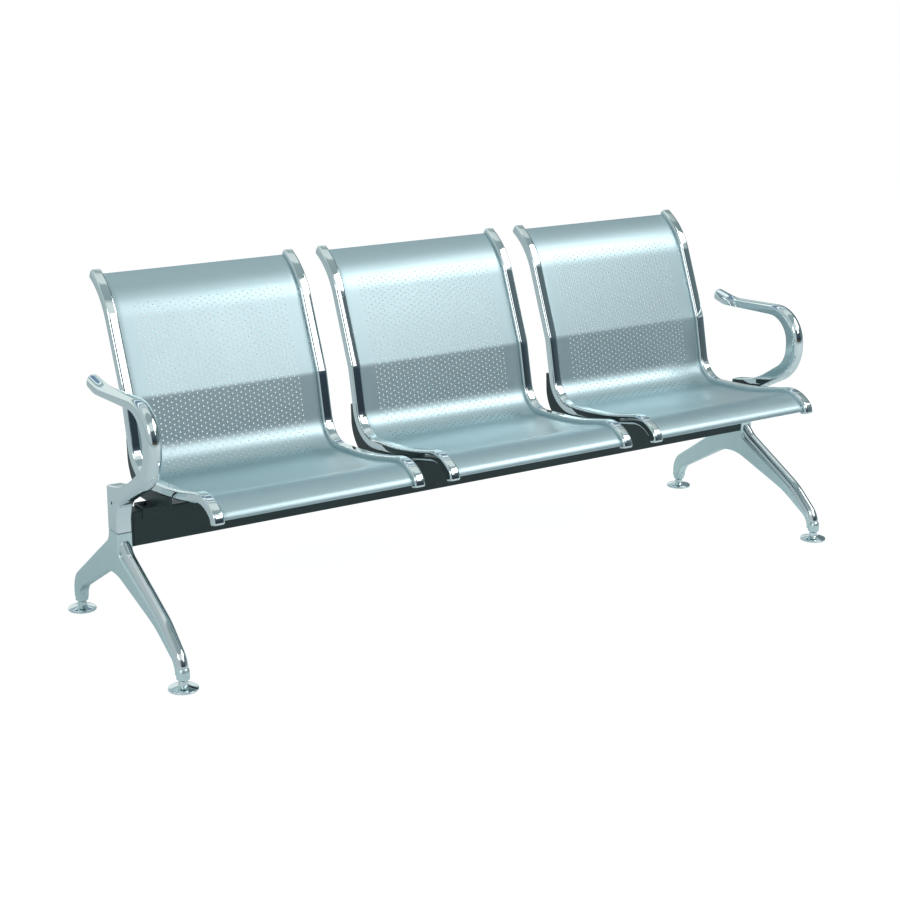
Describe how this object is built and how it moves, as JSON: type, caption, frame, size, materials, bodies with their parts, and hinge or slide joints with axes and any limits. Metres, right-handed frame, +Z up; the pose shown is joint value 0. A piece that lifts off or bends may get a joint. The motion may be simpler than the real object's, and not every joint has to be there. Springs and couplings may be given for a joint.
{
  "type": "beam seating",
  "caption": "Beam seating: bent perforated steel seats on chromed side rails, bolted to a black steel beam between cast legs with loop armrests and levelling feet.",
  "frame": {"origin": "on the floor, under the middle of the whole seating", "axes": "+X along the beam, from the sitter's right to the sitter's left as seen from the front; +Y towards the backs of the seats; +Z up"},
  "size_m": [1.861, 0.6064, 0.789],
  "materials": {
    "sheet_lacquer": "satin grey-blue powder coat on perforated steel sheet",
    "rail_chrome": "mirror chrome",
    "armrest_chrome": "mirror chrome",
    "leg_aluminium": "satin cast sides, polished rib",
    "beam_black": "semi-gloss black powder coat",
    "foot_chrome": "mirror chrome",
    "pad_plastic": "matt black plastic",
    "zinc_steel": "bright zinc plated steel",
    "black_screw": "blackened steel"
  },
  "bodies": {
    "frame": {"left_seat_sheet": "sheet_lacquer", "left_seat_rail_left": "rail_chrome", "left_seat_bracket_left": "beam_black", "left_seat_saddle_left": "beam_black", "left_seat_rail_right": "rail_chrome", "left_seat_bracket_right": "beam_black", "left_seat_saddle_right": "beam_black", "left_seat_saddle_bolts": "black_screw", "left_seat_rail_screws": "black_screw", "left_seat_sheet_screws": "zinc_steel", "middle_seat_sheet": "sheet_lacquer", "middle_seat_rail_left": "rail_chrome", "middle_seat_bracket_left": "beam_black", "middle_seat_saddle_left": "beam_black", "middle_seat_rail_right": "rail_chrome", "middle_seat_bracket_right": "beam_black", "middle_seat_saddle_right": "beam_black", "middle_seat_saddle_bolts": "black_screw", "middle_seat_rail_screws": "black_screw", "middle_seat_sheet_screws": "zinc_steel", "right_seat_sheet": "sheet_lacquer", "right_seat_rail_left": "rail_chrome", "right_seat_bracket_left": "beam_black", "right_seat_saddle_left": "beam_black", "right_seat_rail_right": "rail_chrome", "right_seat_bracket_right": "beam_black", "right_seat_saddle_right": "beam_black", "right_seat_saddle_bolts": "black_screw", "right_seat_rail_screws": "black_screw", "right_seat_sheet_screws": "zinc_steel", "beam": "beam_black", "beam_end_plate_left": "beam_black", "leg_left": "leg_aluminium", "armrest_left": "armrest_chrome", "armrest_spigot_left": "zinc_steel", "armrest_lock_screw_left": "black_screw", "end_bolts_left": "zinc_steel", "beam_end_plate_right": "beam_black", "leg_right": "leg_aluminium", "armrest_right": "armrest_chrome", "armrest_spigot_right": "zinc_steel", "armrest_lock_screw_right": "black_screw", "end_bolts_right": "zinc_steel"},
    "foot_front_left": {"foot_disc_front_left": "foot_chrome", "foot_pad_front_left": "pad_plastic"},
    "foot_screw_front_left": {"foot_stud_front_left": "zinc_steel"},
    "foot_rear_left": {"foot_disc_rear_left": "foot_chrome", "foot_pad_rear_left": "pad_plastic"},
    "foot_screw_rear_left": {"foot_stud_rear_left": "zinc_steel"},
    "foot_front_right": {"foot_disc_front_right": "foot_chrome", "foot_pad_front_right": "pad_plastic"},
    "foot_screw_front_right": {"foot_stud_front_right": "zinc_steel"},
    "foot_rear_right": {"foot_disc_rear_right": "foot_chrome", "foot_pad_rear_right": "pad_plastic"},
    "foot_screw_rear_right": {"foot_stud_rear_right": "zinc_steel"}
  },
  "joints": [
    {"name": "foot_height_front_left", "type": "slide", "parent": "frame", "child": "foot_front_left", "axis": [0, 0, -1], "range_m": [-0.0025, 0.012]},
    {"name": "foot_turn_front_left", "type": "hinge", "parent": "foot_front_left", "child": "foot_screw_front_left", "pos_m": [-0.898, -0.2673, 0], "axis": [0, 0, -1], "range_deg": [-601, 2881]},
    {"name": "foot_height_rear_left", "type": "slide", "parent": "frame", "child": "foot_rear_left", "axis": [0, 0, -1], "range_m": [-0.0025, 0.012]},
    {"name": "foot_turn_rear_left", "type": "hinge", "parent": "foot_rear_left", "child": "foot_screw_rear_left", "pos_m": [-0.898, 0.2707, 0], "axis": [0, 0, -1], "range_deg": [-601, 2881]},
    {"name": "foot_height_front_right", "type": "slide", "parent": "frame", "child": "foot_front_right", "axis": [0, 0, -1], "range_m": [-0.0025, 0.012]},
    {"name": "foot_turn_front_right", "type": "hinge", "parent": "foot_front_right", "child": "foot_screw_front_right", "pos_m": [0.898, -0.2673, 0], "axis": [0, 0, -1], "range_deg": [-601, 2881]},
    {"name": "foot_height_rear_right", "type": "slide", "parent": "frame", "child": "foot_rear_right", "axis": [0, 0, -1], "range_m": [-0.0025, 0.012]},
    {"name": "foot_turn_rear_right", "type": "hinge", "parent": "foot_rear_right", "child": "foot_screw_rear_right", "pos_m": [0.898, 0.2707, 0], "axis": [0, 0, -1], "range_deg": [-601, 2881]}
  ],
  "couplings": [
    {"joint": "foot_turn_front_left", "follows": "foot_height_front_left", "rad_per_m": 4188.8},
    {"joint": "foot_turn_rear_left", "follows": "foot_height_rear_left", "rad_per_m": 4188.8},
    {"joint": "foot_turn_front_right", "follows": "foot_height_front_right", "rad_per_m": 4188.8},
    {"joint": "foot_turn_rear_right", "follows": "foot_height_rear_right", "rad_per_m": 4188.8}
  ]
}
